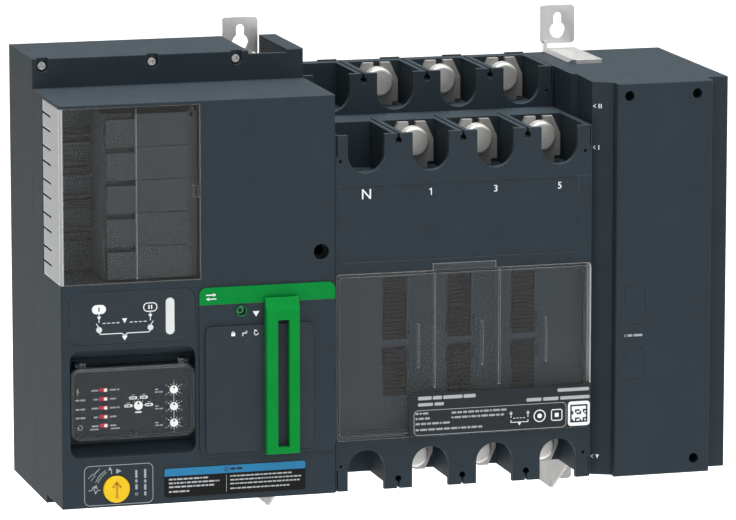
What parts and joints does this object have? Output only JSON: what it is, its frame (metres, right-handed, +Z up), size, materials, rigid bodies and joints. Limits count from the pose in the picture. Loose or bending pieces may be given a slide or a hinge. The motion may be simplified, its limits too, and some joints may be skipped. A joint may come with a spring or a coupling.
{
  "type": "automatic transfer switch",
  "caption": "Wall-mounted automatic transfer switch: drive module with controller and sliding handle, pole unit with two supply rows and a load row, clear covers, end housing",
  "frame": {"origin": "centre of the four fixing holes, on the mounting plane at the back", "axes": "+X to the right seen from the front, +Y back into the wall, +Z up; the front faces -Y"},
  "size_m": [0.4655, 0.1634, 0.339],
  "materials": {
    "housing": "fine texture, dark slate grey",
    "clear": "clear moulded polycarbonate, slightly smoky",
    "blank": "fine texture, dark grey",
    "panel": "satin printed film, dark slate with white line graphics",
    "light_guide": "milky light guide",
    "steel": "zinc plated",
    "dark_steel": "blackened steel",
    "terminal": "tin-plated copper, warm grey",
    "copper": "bare copper with silver tips",
    "green": "moulded green plastic",
    "band": "printed green",
    "yellow": "moulded yellow plastic",
    "red": "moulded red plastic",
    "white": "moulded white plastic",
    "label": "printed film",
    "coil": "varnished winding in a steel frame",
    "board": "circuit board",
    "bearing": "acetal"
  },
  "bodies": {
    "root": {"mechanism_rear_case": "housing", "rear_case_screws": "steel", "mechanism_front_case": "housing", "module_rack": "blank", "module_blanks": "blank", "mimic_panel": "panel", "indicator_light_bar": "light_guide", "position_lamps": "light_guide", "controller_module": "panel", "controller_hinge_blocks": "housing", "dip_bases": "red", "notice_label": "label", "mode_fascia": "housing", "fascia_band": "band", "drive_coils": "coil", "mechanism_plates": "steel", "control_board": "board", "pole_rear_housing": "housing", "pole_front_housing": "housing", "source_1_shroud": "housing", "source_2_shroud": "housing", "load_shroud": "housing", "arc_vent_plates": "dark_steel", "load_links": "copper", "shaft_bearings": "bearing", "end_housing": "housing", "end_cover": "housing", "end_cover_screws": "dark_steel", "auxiliary_contacts": "blank", "top_left_bracket": "steel", "top_right_bracket": "steel", "lower_left_bracket": "steel", "lower_right_bracket": "steel", "source_1_terminals": "terminal", "source_1_bolts": "steel", "source_2_terminals": "terminal", "source_2_bolts": "steel", "load_terminals": "terminal", "load_bolts": "steel"},
    "door": {"module_door": "clear"},
    "settings_cover": {"controller_cover": "clear"},
    "arc_cover": {"pole_cover": "clear", "rating_label": "label"},
    "test_switch": {"test_knob": "yellow"},
    "selector": {"source_selector": "white"},
    "dial_1": {"delay_dial_1": "white"},
    "dial_2": {"delay_dial_2": "white"},
    "dial_3": {"delay_dial_3": "white"},
    "dip_1": {"dip_slider_1": "white"},
    "dip_2": {"dip_slider_2": "white"},
    "dip_3": {"dip_slider_3": "white"},
    "dip_4": {"dip_slider_4": "white"},
    "dip_5": {"dip_slider_5": "white"},
    "mode_slider": {"mode_slider_panel": "panel", "mode_handle": "green"},
    "release": {"release_button": "green"},
    "rotor": {"transfer_shaft": "housing", "contact_arms": "copper", "worm_wheel": "steel"},
    "spindle": {"manual_spindle": "dark_steel"}
  },
  "joints": [
    {"name": "module_door_hinge", "type": "hinge", "parent": "root", "child": "door", "pos_m": [-0.273, -0.1065, 0.07], "axis": [0, 0, -1], "range_deg": [0, 100]},
    {"name": "controller_cover_hinge", "type": "hinge", "parent": "root", "child": "settings_cover", "pos_m": [-0.2277, -0.149, -0.0434], "axis": [-1, 0, 0], "range_deg": [0, 90]},
    {"name": "pole_cover_hinge", "type": "hinge", "parent": "root", "child": "arc_cover", "pos_m": [0.001, -0.1555, -0.1038], "axis": [1, 0, 0], "range_deg": [0, 75]},
    {"name": "test_knob_turn", "type": "hinge", "parent": "root", "child": "test_switch", "pos_m": [-0.2397, -0.15, -0.1269], "axis": [0, -1, 0], "range_deg": [0, 90]},
    {"name": "source_selector_turn", "type": "hinge", "parent": "root", "child": "selector", "pos_m": [-0.2232, -0.15, -0.0722], "axis": [0, -1, 0], "range_deg": [-75, 75]},
    {"name": "delay_dial_1_turn", "type": "hinge", "parent": "root", "child": "dial_1", "pos_m": [-0.199, -0.15, -0.0627], "axis": [0, -1, 0], "range_deg": [-150, 150]},
    {"name": "delay_dial_2_turn", "type": "hinge", "parent": "root", "child": "dial_2", "pos_m": [-0.199, -0.15, -0.074], "axis": [0, -1, 0], "range_deg": [-150, 150]},
    {"name": "delay_dial_3_turn", "type": "hinge", "parent": "root", "child": "dial_3", "pos_m": [-0.199, -0.15, -0.0852], "axis": [0, -1, 0], "range_deg": [-150, 150]},
    {"name": "dip_slider_1_slide", "type": "slide", "parent": "root", "child": "dip_1", "axis": [-1, 0, 0], "range_m": [0, 0.0024]},
    {"name": "dip_slider_2_slide", "type": "slide", "parent": "root", "child": "dip_2", "axis": [-1, 0, 0], "range_m": [0, 0.0024]},
    {"name": "dip_slider_3_slide", "type": "slide", "parent": "root", "child": "dip_3", "axis": [-1, 0, 0], "range_m": [0, 0.0024]},
    {"name": "dip_slider_4_slide", "type": "slide", "parent": "root", "child": "dip_4", "axis": [-1, 0, 0], "range_m": [0, 0.0024]},
    {"name": "dip_slider_5_slide", "type": "slide", "parent": "root", "child": "dip_5", "axis": [-1, 0, 0], "range_m": [0, 0.0024]},
    {"name": "mode_slide", "type": "slide", "parent": "root", "child": "mode_slider", "axis": [1, 0, 0], "range_m": [0, 0.016]},
    {"name": "release_button_press", "type": "slide", "parent": "root", "child": "release", "axis": [0, 1, 0], "range_m": [0, 0.002], "stiffness_N_per_m": 300, "springref_m": -0.001},
    {"name": "transfer_shaft_turn", "type": "hinge", "parent": "root", "child": "rotor", "pos_m": [-0.031, -0.0628, -0.027], "axis": [1, 0, 0], "range_deg": [-36.5, 36.5]},
    {"name": "manual_spindle_turn", "type": "hinge", "parent": "root", "child": "spindle", "pos_m": [-0.0986, -0.1, 0.0259], "axis": [0, -1, 0], "range_deg": [-110, 110]}
  ],
  "couplings": [
    {"joint": "manual_spindle_turn", "follows": "transfer_shaft_turn", "ratio": 3}
  ]
}
